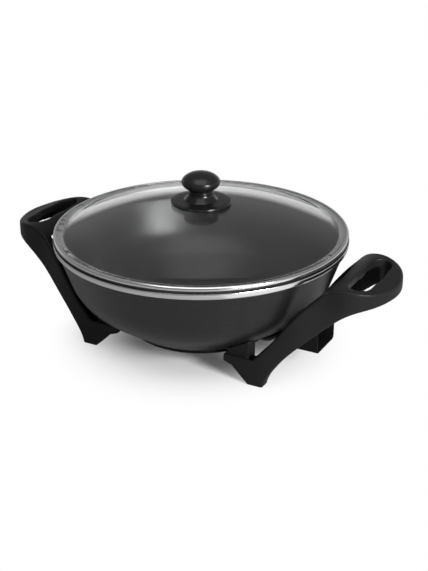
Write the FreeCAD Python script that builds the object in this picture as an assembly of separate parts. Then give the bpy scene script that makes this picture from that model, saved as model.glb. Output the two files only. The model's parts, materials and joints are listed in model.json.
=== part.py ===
import FreeCAD, Part
import math
import os

# Electric wok with a lift-off glass lid.
# Millimetres. +Z is up, the floor is z = 0, and the bowl's axis is the Z axis.
# The two handles lie along X, and the mains inlet is under the +X handle.

V = FreeCAD.Vector
UP = V(0, 0, 1)
ALONG_X = V(1, 0, 0)
ORIGIN = V(0, 0, 0)

# ---------------------------------------------------------------- bowl
bowl_base_r = 96.0          # flat underside, out to the start of the cone
bowl_base_z = 31.0          # height of that underside above the floor
cone_slope = 35.0           # degrees, from the underside to the knee
wall_slope = 70.5           # degrees, from the knee to the rim
knee_radius = 72.0          # round between cone and wall, outside
rim_foot_r = 175.5          # outside radius where the bright rim ring starts
rim_foot_z = 135.0
bowl_wall = 4.2
bowl_floor = 5.5
lip_height = 1.8            # dark lip that the lid sits on
lip_overhang = 2.1          # lip beyond the foot of the rim
rim_wall = 7.5              # casting at the rim, measured in from its foot
rim_land = 8.0              # width of casting carried over the wall at the rim
rim_ring_height = 7.4
rim_ring_overhang = 3.5     # bright ring beyond the foot of the rim
rim_seat_step = 1.0         # how far the casting steps out to carry the rim ring
ring_clearance = 0.1

# ---------------------------------------------------------------- lid
band_overhang = 0.6         # band beyond the lip
band_edge_wall = 1.4        # steel around the edge of the glass
band_fold = 0.6             # flange, skirt and hem sheet
band_hem = 4.0              # steel folded over the edge of the glass
band_lap = 0.1              # hem to glass
skirt_clearance = 1.2       # skirt to the bowl's rim wall
skirt_depth = 7.0
glass_thickness = 3.6
glass_rise = 33.6           # from the band to the crown
glass_edge_gap = 0.3
glass_edge_bevel = 0.8
vent_place_r = 140.0        # vent hole, from the axis
vent_angle = 128.0          # degrees about +Z from +X
vent_bore_r = 2.0
eyelet_wall = 0.8
eyelet_flange_r = 4.8
eyelet_flange = 0.6
eyelet_slack = 0.1          # flange to the hollow side of the glass

# ---------------------------------------------------------------- knob
skirt_disc_r = 36.5
skirt_disc_edge = 3.4
skirt_disc_hang = 0.6       # how far the disc's rim hangs below its seat
skirt_seat_r = 14.0
skirt_cone_foot_r = 20.5
skirt_cone_top_r = 15.4
skirt_cone_height = 6.8
skirt_lip = 1.5
skirt_floor = 4.0           # under the hollow for the end of the insert
knob_neck_r = 13.4
knob_neck_height = 5.0
knob_head_r = 23.4
knob_head_height = 21.3
knob_widest = 8.8           # height of the widest ring above the neck
screw_r = 2.5
screw_head_r = 4.8
screw_head_height = 2.8
screw_clearance = 0.3
insert_r = 4.5
insert_length = 14.0
insert_roof = 2.0
insert_hollow_gap = 1.0
seal_r = 11.0
seal_thickness = 1.5
washer_r = 9.0
washer_thickness = 1.2

# ---------------------------------------------------------------- base
base_ring_r = 89.0
base_ring_wall = 1.6
base_ring_flange = 7.0
cover_low_z = 23.4
cover_thickness = 1.2
cover_edge_inset = 0.6      # cover inside the collar
cover_boss_place = 30.0     # screws of the base cover, from the axis
cover_boss_r = 5.0
cover_boss_gap = 1.0        # boss to the insulating pad
cover_screws = 3
element_r = 3.2
element_sink = 2.6          # how deep the element lies in the groove of the underside
element_groove_gap = 0.05
element_ring_r = 62.0
element_bend_r = 13.0
tail_bend_r = 16.0
tail_rise_x = 101.5         # where the tails turn up beside the bowl
tail_rise_angle = 35.0
tail_notch_gap = 1.0
pad_gap = 4.4               # pad inside the collar's flange

# ---------------------------------------------------------------- inlet
inlet_half_width = 25.0
inlet_end_x = 168.0
inlet_low_z = 28.5
inlet_high_z = 62.0
inlet_inner_x = 114.0
inlet_sheet = 1.2
inlet_corner = 4.0
bowl_gap = 0.5              # shroud and plate to the bowl's skin
pin_half_spacing = 18.0
pin_height = 46.5
pin_r = 3.0
pin_tip_inset = 3.6         # pin tips behind the shroud's mouth
pin_tip_round = 1.8
pin_length = 23.0
pin_stem_r = 1.7
bush_r = 4.4
bush_length = 5.0
bush_clearance = 0.1
plate_thickness = 1.6
plate_margin = 0.3
plate_setback = 4.0         # plate behind the end of the element's sheath
probe_bore_r = 3.2
probe_wall = 1.3
probe_length = 20.0
probe_seat_depth = 9.0      # how deep the probe tube is set in its boss
probe_boss_r = 8.0
probe_boss_end_x = 130.0
tab_width = 10.0
tab_reach = 9.0
tab_x = 134.0
tab_screw_inset = 4.0       # screw from the end of its tab
pillar_r = 4.0
small_screw_r = 1.75        # screws of the shroud and of the base cover
small_head_r = 3.4
small_head_height = 1.8
small_thread_depth = 9.0
thread_gap = 0.1

# ---------------------------------------------------------------- handles
foot_outer_x = 124.0
foot_inner_x = 105.0
foot_half_width = 82.0      # outer face of the legs at the floor
foot_leg_width = 15.0       # legs, near the floor
loop_leg_width = 12.0       # legs, where they run into the loop
loop_half_width = 62.5      # outer face of the loop
leg_waist_x = 160.0         # the legs lean in between here
loop_neck_x = 192.0         # and here
loop_tip_x = 254.0
loop_top_z = 132.0
loop_tip_drop = 4.0
loop_depth = 15.0           # top to underside at the tip
loop_flat_start_x = 200.0   # inner end of the loop's flat top
tip_margin = 12.0           # how far the side view runs on past the tip
loop_bar_depth = 9.5        # loop's top to the underside of its inner bar
top_edge_round = 2.5
low_edge_round = 2.5
flare_gap = 17.0            # rim ring to the crease where the slope toward the bowl starts
flare_slope = 45.0
handle_gap = 0.6            # handle to the bowl's skin
arm_inner_x = 73.0
arm_under_z = 24.0
arm_bend_x = 84.0
arm_bend_z = 20.0
arm_top_z = 32.5
arm_top_outer_x = 110.0
boss_inner_x = 74.0
boss_outer_x = 105.0
boss_width = 17.0
boss_round = 2.5
boss_high_z = 56.0          # uncut height; the block ends just short of the bowl's skin
lug_z = 38.0                # where the moulding meets the lugs of the bowl
lug_r = 7.0
lug_clearance = 0.4
lug_run = 20.0              # how far the lugs run up into the bowl
lug_x = 89.0
lug_y = 68.0
hole_inner_x = 206.0
hole_outer_x = 234.0
hole_half_width = 49.0
wall_shell = 3.5            # moulded wall of the legs
web_shell = 7.0             # moulded skin along the leg's outer curve
handle_screw_r = 2.5
handle_screw_clearance = 0.3
handle_head_r = 4.6
handle_head_height = 3.2
handle_washer_r = 6.0
handle_washer_thickness = 1.0
counterbore_r = 6.6
counterbore_z = 28.0
handle_thread_depth = 5.5
screw_end_gap = 1.0

# outer edge of a leg in side view, (x, z), from just above the floor to the loop
leg_outer_points = [(129, 14), (137.5, 27), (150, 43), (175, 68), (200, 91), (221, 105.5), (240, 111)]
# its edge on the bowl's side, from the loop down to the arm
leg_inner_points = [(190, 128), (180, 118.5), (170, 108), (160, 96.5), (151, 85), (142, 72.5), (133, 59.5), (124, 48.5)]

# ---------------------------------------------------------------- worked out
lip_r = rim_foot_r + lip_overhang
rim_inner_r = rim_foot_r - rim_wall
rim_ring_r = rim_foot_r + rim_ring_overhang
band_r = lip_r + band_overhang
lip_low_z = rim_foot_z + rim_ring_height
band_low_z = lip_low_z + lip_height
glass_low_z = band_low_z + band_fold
hem_low_z = glass_low_z + glass_thickness + band_lap
band_top_z = hem_low_z + band_fold
band_skirt_r = rim_inner_r - skirt_clearance
dome_start_r = band_skirt_r - 1
dome_radius = (dome_start_r ** 2 + glass_rise ** 2) / (2 * glass_rise)
knob_foot_z = glass_low_z + glass_rise + glass_thickness
knob_joint_z = knob_foot_z + skirt_disc_edge + skirt_cone_height + skirt_lip
dome_fall_at_seal = dome_radius - math.sqrt(dome_radius ** 2 - seal_r ** 2)
screw_seat_z = knob_foot_z - glass_thickness - dome_fall_at_seal - seal_thickness - washer_thickness
cover_top_z = cover_low_z + cover_thickness
cover_r = base_ring_r - cover_edge_inset
pad_r = base_ring_r - base_ring_wall - base_ring_flange - pad_gap
element_z = bowl_base_z + element_sink - element_r
sheath_end_x = inlet_end_x - pin_tip_inset - pin_length - bush_length
probe_inner_x = probe_boss_end_x - probe_seat_depth
tab_screw_y = inlet_half_width + tab_reach - tab_screw_inset
loop_tip_low_z = loop_top_z - loop_tip_drop - loop_depth
flare_r = rim_ring_r + flare_gap
washer_low_z = counterbore_z - handle_washer_thickness


# ---------------------------------------------------------------- helpers
def xz(u, v):
    return V(u, 0, v)


def rounded_face(corners, plane):
    """Flat face with straight sides; each corner is (u, v, radius)."""
    count = len(corners)
    arrive, leave, middle = [], [], []
    for i in range(count):
        u, v, radius = corners[i]
        here = plane(u, v)
        back = (plane(*corners[i - 1][:2]) - here).normalize()
        ahead = (plane(*corners[(i + 1) % count][:2]) - here).normalize()
        half = back.getAngle(ahead) / 2
        reach = radius / math.tan(half) if radius else 0
        arrive.append(here + back * reach)
        leave.append(here + ahead * reach)
        split = (back + ahead).normalize() if radius else V(0, 0, 0)
        middle.append(here + split * (radius / math.sin(half) - radius))
    edges = []
    for i in range(count):
        if leave[i - 1].distanceToPoint(arrive[i]) > 1e-6:
            edges.append(Part.LineSegment(leave[i - 1], arrive[i]).toShape())
        if corners[i][2]:
            edges.append(Part.Arc(arrive[i], middle[i], leave[i]).toShape())
    return Part.Face(Part.Wire(edges))


def turned(corners):
    """Solid of revolution about the bowl's axis; corners are (r, z, radius)."""
    return rounded_face(corners, xz).revolve(ORIGIN, UP, 360)


def rod(radius, start, end):
    """Round bar between two points."""
    run = end - start
    return Part.makeCylinder(radius, run.Length, start, run)


def post(radius, place, low, high):
    """Upright round bar at a place (x, y)."""
    return rod(radius, V(*place, low), V(*place, high))


def curve(points):
    """Smooth edge through the given points."""
    line = Part.BSplineCurve()
    line.interpolate(points)
    return line.toShape()


def lines(points):
    """Straight edges from point to point."""
    return [Part.LineSegment(p, q).toShape() for p, q in zip(points, points[1:])]


def single(shape):
    """The one solid in a boolean result."""
    return shape.removeSplitter().Solids[0]


def screw(radius, head_r, head_height, place, seat_z, tip_z):
    """Pan-head screw put in from below; its head bears on the face at seat_z."""
    head = post(head_r, place, seat_z - head_height, seat_z)
    return head.fuse(post(radius, place, seat_z, tip_z))


def meet(p, p_angle, q, q_angle):
    """Where two lines of the (r, z) plane cross; angles in degrees."""
    a, b = math.radians(p_angle), math.radians(q_angle)
    across = math.sin(b - a)
    along = ((q[0] - p[0]) * math.sin(b) - (q[1] - p[1]) * math.cos(b)) / across
    return p[0] + along * math.cos(a), p[1] + along * math.sin(a)


# ---------------------------------------------------------------- bowl group
def skin(inset, floor_inset):
    """Corners of a surface that lies inset inside the bowl's outside skin."""
    def inside(r, z, angle):
        a = math.radians(angle)
        return r - inset * math.sin(a), z + inset * math.cos(a)
    cone = inside(bowl_base_r, bowl_base_z, cone_slope)
    wall = inside(rim_foot_r, rim_foot_z, wall_slope)
    base = meet((0, bowl_base_z + floor_inset), 0, cone, cone_slope)
    knee = meet(cone, cone_slope, wall, wall_slope)
    return base, knee, wall


def bowl_volume(grow, top_z):
    """Everything inside the bowl's outside skin, grown by a gap, up to a height."""
    base, knee, wall = skin(-grow, -grow)
    top_r = meet((0, top_z), 0, wall, wall_slope)[0]
    return turned([(0, base[1], 0), (*base, 4), (*knee, knee_radius + grow), (top_r, top_z, 0),
                   (0, top_z, 0)])


def bowl_hollow():
    base, knee, wall = skin(bowl_wall, bowl_floor)
    bend = meet((rim_inner_r, 0), 90, wall, wall_slope)
    over = band_low_z + 1
    return turned([(0, base[1], 0), (*base, 12), (*knee, knee_radius - bowl_wall), (*bend, 6),
                   (rim_inner_r, over, 0), (0, over, 0)])


def lug_places():
    return [(sx * lug_x, sy * lug_y) for sx in (1, -1) for sy in (1, -1)]


def tab_screw_places():
    return [(tab_x, side * tab_screw_y) for side in (1, -1)]


def cover_screw_places():
    turns = [math.pi / 2 + i * 2 * math.pi / cover_screws for i in range(cover_screws)]
    return [(cover_boss_place * math.cos(t), cover_boss_place * math.sin(t)) for t in turns]


def make_bowl():
    inside_r = rim_inner_r - rim_land
    seat_r = rim_foot_r + rim_seat_step
    rim = turned([(inside_r, rim_foot_z, 0), (seat_r, rim_foot_z, 0), (seat_r, lip_low_z, 0),
                  (lip_r, lip_low_z, 0.5), (lip_r, band_low_z, 0.8), (inside_r, band_low_z, 0)])
    added = [rim, rod(probe_boss_r, V(bowl_base_r, 0, pin_height), V(probe_boss_end_x, 0, pin_height))]
    added += [post(lug_r, place, lug_z, lug_z + lug_run) for place in lug_places()]
    pillar_low = inlet_low_z + inlet_sheet
    added += [post(pillar_r, place, pillar_low, pillar_low + 30) for place in tab_screw_places()]
    added += [post(cover_boss_r, place, cover_top_z, bowl_base_z + 2) for place in cover_screw_places()]
    body = bowl_volume(0, rim_foot_z).fuse(added)

    cuts = [bowl_hollow(), element_pipe(element_r + element_groove_gap)]
    cuts += [post(handle_screw_r + thread_gap, place, 0, lug_z + handle_thread_depth)
             for place in lug_places()]
    cuts += [post(small_screw_r + thread_gap, place, pillar_low, pillar_low + small_thread_depth)
             for place in tab_screw_places()]
    cuts += [post(small_screw_r + thread_gap, place, cover_top_z, cover_top_z + small_thread_depth)
             for place in cover_screw_places()]
    cuts.append(rod(probe_bore_r + probe_wall + ring_clearance, V(probe_inner_x, 0, pin_height),
                    V(probe_inner_x + probe_length, 0, pin_height)))
    for cut in cuts:
        body = body.cut(cut)
    return single(body)


def make_rim_ring():
    inner = rim_foot_r + rim_seat_step + ring_clearance
    return turned([(inner, rim_foot_z, 0), (rim_ring_r - 0.6, rim_foot_z, 0.5), (rim_ring_r, lip_low_z, 1.0),
                   (inner, lip_low_z, 0)])


# ---------------------------------------------------------------- base group
def make_base_ring():
    """Collar round the heating element; the cover holds its flange up against the bowl."""
    inner = base_ring_r - base_ring_wall
    flange_top = cover_top_z + base_ring_wall
    ring = turned([(inner - base_ring_flange, cover_top_z, 0), (base_ring_r, cover_top_z, 1.2),
                   (base_ring_r, bowl_base_z, 0), (inner, bowl_base_z, 0), (inner, flange_top, 0),
                   (inner - base_ring_flange, flange_top, 0)])
    notches = [rod(element_r + tail_notch_gap, V(element_ring_r, side * pin_half_spacing, element_z),
                   V(base_ring_r + 5, side * pin_half_spacing, element_z)) for side in (1, -1)]
    return single(ring.cut(notches))


def make_base_cover():
    disc = post(cover_r, (0, 0), cover_low_z, cover_top_z)
    disc = disc.makeFillet(0.5, [disc.Edges[0]])
    return single(disc.cut([post(small_screw_r + screw_clearance, place, cover_low_z - 1, cover_top_z + 1)
                            for place in cover_screw_places()]))


def make_cover_screws():
    tip_z = cover_top_z + small_thread_depth - screw_end_gap
    return [screw(small_screw_r, small_head_r, small_head_height, place, cover_low_z, tip_z)
            for place in cover_screw_places()]


def element_half_path():
    """Centre line of the element from the far side of its ring to the end of one tail."""
    reach = element_ring_r + element_bend_r
    turn = math.asin((pin_half_spacing + element_bend_r) / reach)
    bend_x, bend_y = reach * math.cos(turn), pin_half_spacing + element_bend_r
    on_ring = V(element_ring_r * math.cos(turn), element_ring_r * math.sin(turn), element_z)
    middle = (math.pi + turn + 1.5 * math.pi) / 2
    bend_mid = V(bend_x + element_bend_r * math.cos(middle), bend_y + element_bend_r * math.sin(middle),
                 element_z)
    straight = V(bend_x, pin_half_spacing, element_z)

    rise = math.radians(tail_rise_angle)
    low = V(tail_rise_x, pin_half_spacing, element_z)
    high = V(tail_rise_x + (pin_height - element_z) / math.tan(rise), pin_half_spacing, pin_height)
    slope = (high - low).normalize()
    reach = tail_bend_r * math.tan(rise / 2)
    sag = V(-math.sin(rise / 2), 0, math.cos(rise / 2)) * (tail_bend_r / math.cos(rise / 2) - tail_bend_r)
    low_in, low_out = low - ALONG_X * reach, low + slope * reach
    high_in, high_out = high - slope * reach, high + ALONG_X * reach
    end = V(sheath_end_x, pin_half_spacing, pin_height)

    far_mid = V(element_ring_r * math.cos((math.pi + turn) / 2),
                element_ring_r * math.sin((math.pi + turn) / 2), element_z)
    return [Part.Arc(V(-element_ring_r, 0, element_z), far_mid, on_ring).toShape(),
            Part.Arc(on_ring, bend_mid, straight).toShape(),
            *lines([straight, low_in]), Part.Arc(low_in, low + sag, low_out).toShape(),
            *lines([low_out, high_in]), Part.Arc(high_in, high - sag, high_out).toShape(),
            *lines([high_out, end])]


def element_pipe(radius):
    """Sheathed tube bent to a ring, with both tails rising side by side to the inlet."""
    half = element_half_path()
    other = [edge.mirror(ORIGIN, V(0, 1, 0)) for edge in half]
    path = Part.Wire(Part.__sortEdges__(half + other))
    end = V(sheath_end_x, pin_half_spacing, pin_height)
    return path.makePipeShell([Part.Wire(Part.makeCircle(radius, end, ALONG_X))], True, False)


def make_element():
    return element_pipe(element_r)


def make_pad():
    """Insulating sheet that fills the room between the cover and the element."""
    disc = post(pad_r, (0, 0), cover_top_z, element_z - element_r)
    return single(disc.cut([post(cover_boss_r + cover_boss_gap, place, cover_low_z, bowl_base_z)
                            for place in cover_screw_places()]))


# ---------------------------------------------------------------- inlet group
def inlet_section(inset, x):
    """Cross-section of the inlet box, set in from its outside, at a distance along X."""
    half = inlet_half_width - inset
    low, high = inlet_low_z + inset, inlet_high_z - inset
    corner = inlet_corner - inset
    return rounded_face([(-half, low, corner), (half, low, corner), (half, high, corner),
                         (-half, high, corner)], lambda u, v: V(x, u, v))


def make_shroud():
    """Sheet box round the pins, screwed by two tabs to pillars of the bowl."""
    length = inlet_end_x - inlet_inner_x
    outside = inlet_section(0, inlet_inner_x).extrude(V(length, 0, 0))
    inside = inlet_section(inlet_sheet, inlet_inner_x).extrude(V(length, 0, 0))
    tabs = []
    for side in (1, -1):
        start = side * (inlet_half_width - inlet_corner)
        end = side * (inlet_half_width + tab_reach)
        tabs.append(Part.makeBox(tab_width, abs(end - start), inlet_sheet,
                                 V(tab_x - tab_width / 2, min(start, end), inlet_low_z)))
    holes = [post(small_screw_r + screw_clearance, place, inlet_low_z - 1, inlet_low_z + inlet_sheet + 1)
             for place in tab_screw_places()]
    return single(outside.cut(inside).fuse(tabs).cut(holes).cut(bowl_volume(bowl_gap, band_top_z)))


def make_terminal_plate():
    """Plate across the box that steadies the sheaths and the probe tube."""
    x = sheath_end_x - plate_setback
    inset = inlet_sheet + plate_margin
    plate = inlet_section(inset, x).extrude(V(plate_thickness, 0, 0))
    foot = Part.makeBox(plate_thickness, inlet_half_width, plate_margin + 1,
                        V(x, -inlet_half_width / 2, inlet_low_z + inlet_sheet))
    start, end = x - 1, x + plate_thickness + 1
    holes = [rod(element_r + ring_clearance, V(start, side * pin_half_spacing, pin_height),
                 V(end, side * pin_half_spacing, pin_height)) for side in (1, -1)]
    holes.append(rod(probe_bore_r + probe_wall + ring_clearance, V(start, 0, pin_height),
                     V(end, 0, pin_height)))
    return single(plate.fuse(foot).cut(holes).cut(bowl_volume(bowl_gap, band_top_z)))


def make_bushes():
    """Ceramic bushes that close the sheath and carry the pins."""
    bushes = []
    for side in (1, -1):
        start = V(sheath_end_x, side * pin_half_spacing, pin_height)
        end = start + ALONG_X * bush_length
        bushes.append(rod(bush_r, start, end).cut(rod(pin_stem_r + bush_clearance, start, end)))
    return bushes


def make_pins():
    pins = []
    for side in (1, -1):
        start = V(sheath_end_x, side * pin_half_spacing, pin_height)
        shoulder = start + ALONG_X * bush_length
        tip_x = shoulder.x + pin_length
        half = rounded_face([(shoulder.x, 0, 0), (shoulder.x, pin_r, 0), (tip_x, pin_r, pin_tip_round),
                             (tip_x, 0, 0)], lambda u, v: V(u, start.y + v, pin_height))
        pins.append(half.revolve(start, ALONG_X, 360).fuse(rod(pin_stem_r, start, shoulder)))
    return pins


def make_probe_tube():
    """Blind tube that takes the probe of the thermostat plug."""
    start = V(probe_inner_x, 0, pin_height)
    end = start + ALONG_X * probe_length
    tube = rod(probe_bore_r + probe_wall, start, end)
    return tube.cut(rod(probe_bore_r, start + ALONG_X * probe_wall, end))


def make_shroud_screws():
    tip_z = inlet_low_z + inlet_sheet + small_thread_depth - screw_end_gap
    return [screw(small_screw_r, small_head_r, small_head_height, place, inlet_low_z, tip_z)
            for place in tab_screw_places()]


# ---------------------------------------------------------------- handle group
def side_face():
    """Side view of the moulding: arm, foot and leg, and a loop that the plan view trims at its tip."""
    over_x = loop_tip_x + tip_margin
    low = [xz(foot_outer_x, 0), *[xz(*p) for p in leg_outer_points], xz(over_x, loop_tip_low_z + 1)]
    top = [xz(over_x, loop_top_z - loop_tip_drop), xz(loop_tip_x - 2 * tip_margin, loop_top_z - loop_tip_drop / 5),
           xz(loop_flat_start_x, loop_top_z), *[xz(*p) for p in leg_inner_points],
           xz(arm_top_outer_x, arm_top_z)]
    arm = [top[-1], xz(arm_inner_x, arm_top_z), xz(arm_inner_x, arm_under_z),
           xz(arm_bend_x, arm_bend_z), xz(foot_inner_x, 0), low[0]]
    edges = [curve(low), *lines([low[-1], top[0]]), curve(top), *lines(arm)]
    return Part.Face(Part.Wire(edges))


def plan_solid(leg_inset, loop_inset, low, high):
    """Upright block of the outline seen from above, set in from the outside faces."""
    leg = foot_half_width - leg_inset
    loop = loop_half_width - loop_inset
    half = [(arm_inner_x - 13, leg), (boss_outer_x, leg), (foot_outer_x + 4, leg - 0.5), (leg_waist_x, leg - 7),
            (loop_neck_x, loop + 2), (loop_tip_x - 36 - loop_inset * 0.4, loop - 3),
            (loop_tip_x - 15 - loop_inset * 0.6, loop * 0.72), (loop_tip_x - 4 - loop_inset * 0.9, loop * 0.38)]
    points = [V(x, y, low) for x, y in half] + [V(loop_tip_x - loop_inset, 0, low)]
    points += [V(x, -y, low) for x, y in reversed(half)]
    outline = Part.Wire([curve(points), *lines([points[-1], points[0]])])
    return Part.Face(outline).extrude(V(0, 0, high - low))


def handle_clearance():
    """Room for the bowl, with a flare that lets fingers in beside the rim."""
    base, knee, wall = skin(-handle_gap, -handle_gap)
    flare_foot = meet((flare_r, loop_top_z), flare_slope, wall, wall_slope)
    over = 60
    flare_end = flare_r + over / math.tan(math.radians(flare_slope))
    return turned([(0, base[1], 0), (*base, 4), (*knee, knee_radius + handle_gap), (*flare_foot, 0),
                   (flare_end, loop_top_z + over, 0), (0, loop_top_z + over, 0)])


def finger_hole():
    """Hole through the loop: flatter on the bowl's side, round like the loop's outline outside."""
    middle = (hole_inner_x + hole_outer_x) / 2
    half = [(hole_inner_x, 0.5), (hole_inner_x + 4, 0.87), (middle - 1, 1.0), (middle + 9, 0.84),
            (hole_outer_x - 2, 0.42)]
    points = [V(hole_inner_x, 0, 0)] + [V(x, share * hole_half_width, 0) for x, share in half]
    points += [V(hole_outer_x, 0, 0)] + [V(x, -share * hole_half_width, 0) for x, share in reversed(half)]
    outline = Part.BSplineCurve()
    outline.interpolate(points, True)
    return Part.Face(Part.Wire([outline.toShape()])).extrude(V(0, 0, 2 * loop_top_z))


def leg_pocket(wide):
    """Hollow of the legs, open toward the bowl."""
    low = [xz(x - web_shell * 0.8, z + web_shell * 0.75) for x, z in leg_outer_points[:5]]
    far = [low[-1], xz(bowl_base_r, low[-1].z), xz(bowl_base_r, low[0].z), low[0]]
    pocket = Part.Face(Part.Wire([curve(low), *lines(far)])).extrude(V(0, wide, 0))
    pocket.translate(V(0, -wide / 2, 0))
    outer = plan_solid(wall_shell, wall_shell, 0, loop_top_z)
    inner = plan_solid(foot_leg_width - wall_shell, loop_leg_width - wall_shell, 0, loop_top_z)
    return pocket.common(outer.cut(inner))


def outer_edges(body):
    """Edges that run from one leg round the tip to the other, the lowest first."""
    around = [edge for edge in body.Edges if edge.BoundBox.XMax > loop_tip_x - tip_margin / 2
              and edge.BoundBox.YLength > loop_half_width]
    return sorted(around, key=lambda edge: edge.CenterOfMass.z)


def make_handle():
    """Handle loop, two legs and two arms in one moulding, on the +X side."""
    wide = 2 * foot_half_width + 20
    body = side_face().extrude(V(0, wide, 0))
    body.translate(V(0, -wide / 2, 0))
    body = body.common(plan_solid(0, 0, -5, loop_top_z + 20))
    body = body.makeFillet(low_edge_round, outer_edges(body)[:1])
    body = body.makeFillet(top_edge_round, outer_edges(body)[-1:])

    arch = plan_solid(foot_leg_width, loop_leg_width, -10, loop_top_z - loop_bar_depth)
    body = body.cut(arch).cut(finger_hole()).cut(handle_clearance()).cut(leg_pocket(wide))
    blocks, bores = [], []
    for place in [(lug_x, lug_y), (lug_x, -lug_y)]:
        block = Part.makeBox(boss_outer_x - boss_inner_x, boss_width, boss_high_z - arm_under_z,
                             V(boss_inner_x, place[1] - boss_width / 2, arm_under_z))
        upright = [edge for edge in block.Edges if edge.BoundBox.ZLength > boss_width]
        blocks.append(block.makeFillet(boss_round, upright))
        bores.append(post(lug_r + lug_clearance, place, lug_z, boss_high_z + 1))
        bores.append(post(handle_screw_r + handle_screw_clearance, place, 0, lug_z + 1))
        bores.append(post(counterbore_r, place, 0, counterbore_z))
    body = body.fuse(blocks).cut(bores).cut(handle_clearance())
    return max(body.Solids, key=lambda solid: solid.Volume)


def make_left_handle():
    body = make_handle()
    body.rotate(ORIGIN, UP, 180)
    return body


def make_handle_screws():
    tip_z = lug_z + handle_thread_depth - screw_end_gap
    return [screw(handle_screw_r, handle_head_r, handle_head_height, place, washer_low_z, tip_z)
            for place in lug_places()]


def make_handle_washers():
    return [post(handle_washer_r, place, washer_low_z, counterbore_z).cut(
        post(handle_screw_r + handle_screw_clearance, place, washer_low_z - 1, counterbore_z + 1))
        for place in lug_places()]


# ---------------------------------------------------------------- lid group
def dome_arc(lift):
    """Points on the dome's arc from the band to the axis, lifted by a height."""
    half = math.asin(dome_start_r / dome_radius) / 2
    top = glass_low_z + glass_rise + lift
    middle = xz(dome_radius * math.sin(half), top - dome_radius * (1 - math.cos(half)))
    return xz(dome_start_r, glass_low_z + lift), middle, xz(0, top)


def vent_axis():
    """Point on the glass's upper face at the vent, and the direction square to the glass there."""
    turn = math.radians(vent_angle)
    lean = math.asin(vent_place_r / dome_radius)
    square = V(math.sin(lean) * math.cos(turn), math.sin(lean) * math.sin(turn), math.cos(lean))
    height = knob_foot_z - dome_radius * (1 - math.cos(lean))
    return V(vent_place_r * math.cos(turn), vent_place_r * math.sin(turn), height), square


def make_glass():
    low, low_mid, low_top = dome_arc(0)
    high, high_mid, high_top = dome_arc(glass_thickness)
    edge = band_r - band_edge_wall - glass_edge_gap
    rim = [low, xz(edge, low.z), xz(edge, high.z - glass_edge_bevel), xz(edge - glass_edge_bevel, high.z), high]
    edges = [Part.Arc(low_top, low_mid, low).toShape(), *lines(rim),
             Part.Arc(high, high_mid, high_top).toShape(), *lines([high_top, low_top])]
    glass = Part.Face(Part.Wire(edges)).revolve(ORIGIN, UP, 360)
    vent, square = vent_axis()
    return single(glass.cut([post(screw_r + screw_clearance, (0, 0), screw_seat_z, knob_joint_z),
                             rod(vent_bore_r + eyelet_wall + ring_clearance, vent - square * 20,
                                 vent + square * 20)]))


def make_band():
    """Steel band: skirt inside the bowl, flange on its lip, hem over the edge of the glass."""
    inside_r = band_skirt_r - band_fold
    hem_r = band_r - band_hem
    edge_r = band_r - band_edge_wall
    return turned([(inside_r, band_low_z - skirt_depth, 0), (band_skirt_r, band_low_z - skirt_depth, 0),
                   (band_skirt_r, band_low_z, 0.4), (band_r, band_low_z, 0.8), (band_r, band_top_z, 1.6),
                   (hem_r, band_top_z, band_fold / 2), (hem_r, hem_low_z, 0), (edge_r, hem_low_z, 0),
                   (edge_r, glass_low_z, 0), (inside_r, glass_low_z, 0.6)])


def make_eyelet():
    """Steam vent rivetted through the glass."""
    vent, square = vent_axis()
    inside = vent - square * (glass_thickness + eyelet_slack)
    low, high = inside - square * eyelet_flange, vent + square * eyelet_flange
    body = rod(vent_bore_r + eyelet_wall, low, high).fuse([rod(eyelet_flange_r, vent, high),
                                                           rod(eyelet_flange_r, low, inside)])
    return single(body.cut(rod(vent_bore_r, low, high)))


def make_knob_skirt():
    """Disc and cone under the knob, seated on the crown of the glass."""
    disc_top = knob_foot_z + skirt_disc_edge
    bore, hollow = screw_r + screw_clearance, insert_r + insert_hollow_gap
    floor = knob_foot_z + skirt_floor
    return turned([(bore, knob_foot_z, 0), (skirt_seat_r, knob_foot_z, 0),
                   (skirt_disc_r, knob_foot_z - skirt_disc_hang, 0.6),
                   (skirt_disc_r, disc_top - skirt_disc_hang, 1.2), (skirt_cone_foot_r, disc_top, 4.0),
                   (skirt_cone_top_r, knob_joint_z - skirt_lip, 1.0), (skirt_cone_top_r, knob_joint_z, 0.6),
                   (hollow, knob_joint_z, 0), (hollow, floor, 0), (bore, floor, 0)])


def make_knob_head():
    """Mushroom grip on a short neck, moulded round its threaded insert."""
    neck_top = knob_joint_z + knob_neck_height
    wide = neck_top + knob_widest
    top = neck_top + knob_head_height
    outline = curve([xz(knob_neck_r, knob_joint_z), xz(knob_neck_r + 0.4, neck_top - 2.4),
                     xz(knob_neck_r + 2.6, neck_top), xz(knob_head_r - 1.9, wide - 4.8),
                     xz(knob_head_r, wide), xz(knob_head_r - 3.8, wide + 6.2),
                     xz(knob_head_r * 0.48, top - 2.0), xz(0, top)])
    edges = [outline, *lines([xz(0, top), xz(0, knob_joint_z), xz(knob_neck_r, knob_joint_z)])]
    head = Part.Face(Part.Wire(edges)).revolve(ORIGIN, UP, 360)
    return single(head.cut(post(insert_r, (0, 0), knob_joint_z, knob_joint_z + insert_length)))


def make_insert():
    top = knob_joint_z + insert_length
    return post(insert_r, (0, 0), knob_joint_z, top).cut(post(screw_r, (0, 0), knob_joint_z, top - insert_roof))


def make_seal():
    low = screw_seat_z + washer_thickness
    disc = post(seal_r, (0, 0), low, low + seal_thickness)
    return disc.cut(post(screw_r + screw_clearance, (0, 0), low, low + seal_thickness))


def make_knob_washer():
    top = screw_seat_z + washer_thickness
    return post(washer_r, (0, 0), screw_seat_z, top).cut(
        post(screw_r + screw_clearance, (0, 0), screw_seat_z, top))


def make_knob_screw():
    tip_z = knob_joint_z + insert_length - insert_roof - screw_end_gap
    return screw(screw_r, screw_head_r, screw_head_height, (0, 0), screw_seat_z, tip_z)


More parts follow.
